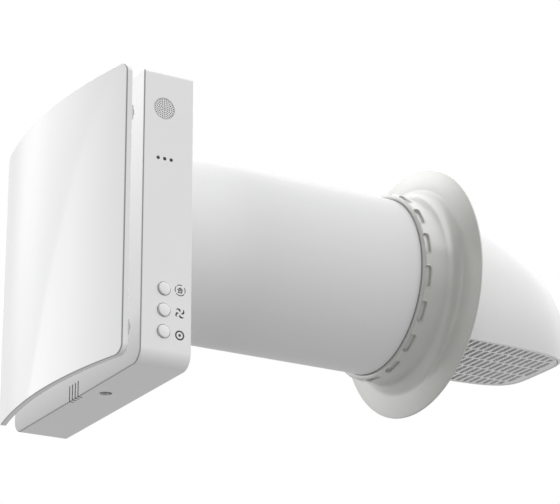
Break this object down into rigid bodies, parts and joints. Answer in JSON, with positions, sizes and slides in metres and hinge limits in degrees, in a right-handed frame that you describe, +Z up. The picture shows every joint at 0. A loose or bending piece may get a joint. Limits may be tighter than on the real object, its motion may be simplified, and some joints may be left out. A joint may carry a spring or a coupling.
{
  "type": "heat recovery unit",
  "caption": "Through-wall heat recovery ventilator: flat indoor casing with a curved front panel, round wall duct with heat store and fan, soft outdoor collar and a grilled hood.",
  "frame": {"origin": "a point on the wall face (the back of the mounting plate), on the vertical centre line, 30 mm above the casing's bottom edge and 119 mm below the duct's axis", "axes": "+Y points outwards through the wall along the duct, +X points right as seen from the room, towards the buttons, +Z points up"},
  "size_m": [0.2418, 0.5029, 0.2627],
  "materials": {
    "gloss_white": "high gloss moulded, faint orange peel",
    "case_white": "satin moulded",
    "button_grey": "soft satin",
    "dark_lens": "smooth, translucent dark",
    "duct_white": "satin extruded",
    "collar_grey": "semi-gloss soft moulding",
    "hood_white": "satin moulded",
    "inner_plastic": "fine matt moulded",
    "gear_plastic": "smooth natural nylon",
    "black_plastic": "fine grain",
    "board_green": "solder-masked laminate",
    "ceramic": "dry porous",
    "foam_grey": "open-cell foam",
    "foam_white": "beaded foam",
    "steel": "zinc plated",
    "cord": "twisted cord"
  },
  "bodies": {
    "root": {"casing": "case_white", "mounting_plate": "steel", "casing_screw": "steel", "control_board": "board_green", "light_guide": "dark_lens", "sounder_grille": "case_white", "sounder": "black_plastic", "power_supply": "black_plastic", "terminal_block": "gear_plastic", "supply_cable": "black_plastic", "shutter_frame": "inner_plastic", "rack_guide_lower": "inner_plastic", "rack_guide_upper": "inner_plastic", "shutter_motor": "steel", "wall_duct": "duct_white", "filter_holder": "inner_plastic", "front_filter": "foam_grey", "rear_filter": "foam_grey", "heat_store": "ceramic", "cartridge_shell_upper": "foam_white", "cartridge_shell_lower": "foam_white", "pull_cord": "cord", "fan_housing": "black_plastic", "motor_stator": "steel", "fan_bearing_front": "steel", "fan_bearing_rear": "steel", "guide_vanes": "black_plastic", "outdoor_collar": "collar_grey", "hood_shell": "hood_white", "hood_spigot": "hood_white", "hood_grille": "hood_white", "insect_mesh": "black_plastic"},
    "panel": {"front_panel": "gloss_white", "panel_stud_lower_left": "gloss_white", "panel_stud_lower_right": "gloss_white", "panel_stud_upper_left": "gloss_white", "panel_stud_upper_right": "gloss_white"},
    "airflow_button": {"airflow_button": "button_grey"},
    "speed_button": {"speed_button": "button_grey"},
    "mode_button": {"mode_button": "button_grey"},
    "rack": {"shutter_rack": "gear_plastic"},
    "pinion": {"drive_pinion": "gear_plastic"},
    "blade_1": {"shutter_blade_1": "inner_plastic", "blade_gear_1": "gear_plastic"},
    "blade_2": {"shutter_blade_2": "inner_plastic", "blade_gear_2": "gear_plastic"},
    "blade_3": {"shutter_blade_3": "inner_plastic", "blade_gear_3": "gear_plastic"},
    "blade_4": {"shutter_blade_4": "inner_plastic", "blade_gear_4": "gear_plastic"},
    "fan": {"fan_rotor": "black_plastic", "fan_shaft": "steel"}
  },
  "joints": [
    {"name": "panel_pull", "type": "slide", "parent": "root", "child": "panel", "axis": [0, -1, 0], "range_m": [0, 0.06]},
    {"name": "airflow_press", "type": "slide", "parent": "root", "child": "airflow_button", "axis": [-1, 0, 0], "range_m": [0, 0.0012]},
    {"name": "speed_press", "type": "slide", "parent": "root", "child": "speed_button", "axis": [-1, 0, 0], "range_m": [0, 0.0012]},
    {"name": "mode_press", "type": "slide", "parent": "root", "child": "mode_button", "axis": [-1, 0, 0], "range_m": [0, 0.0012]},
    {"name": "rack_slide", "type": "slide", "parent": "root", "child": "rack", "axis": [0, 0, 1], "range_m": [0, 0.0088]},
    {"name": "pinion_turn", "type": "hinge", "parent": "root", "child": "pinion", "pos_m": [-0.082, -0.0235, 0.119], "axis": [1, 0, 0], "range_deg": [-84, 0]},
    {"name": "blade_1_turn", "type": "hinge", "parent": "root", "child": "blade_1", "pos_m": [0, -0.0235, 0.07188], "axis": [1, 0, 0], "range_deg": [-86, 0]},
    {"name": "blade_2_turn", "type": "hinge", "parent": "root", "child": "blade_2", "pos_m": [0, -0.0235, 0.10329], "axis": [1, 0, 0], "range_deg": [-86, 0]},
    {"name": "blade_3_turn", "type": "hinge", "parent": "root", "child": "blade_3", "pos_m": [0, -0.0235, 0.13471], "axis": [1, 0, 0], "range_deg": [-86, 0]},
    {"name": "blade_4_turn", "type": "hinge", "parent": "root", "child": "blade_4", "pos_m": [0, -0.0235, 0.16612], "axis": [1, 0, 0], "range_deg": [-86, 0]},
    {"name": "fan_spin", "type": "hinge", "parent": "root", "child": "fan", "pos_m": [0, 0.155, 0.119], "axis": [0, 1, 0], "continuous": true}
  ],
  "couplings": [
    {"joint": "rack_slide", "follows": "pinion_turn", "m_per_rad": -0.006},
    {"joint": "blade_1_turn", "follows": "pinion_turn", "ratio": 1},
    {"joint": "blade_2_turn", "follows": "pinion_turn", "ratio": 1},
    {"joint": "blade_3_turn", "follows": "pinion_turn", "ratio": 1},
    {"joint": "blade_4_turn", "follows": "pinion_turn", "ratio": 1}
  ]
}
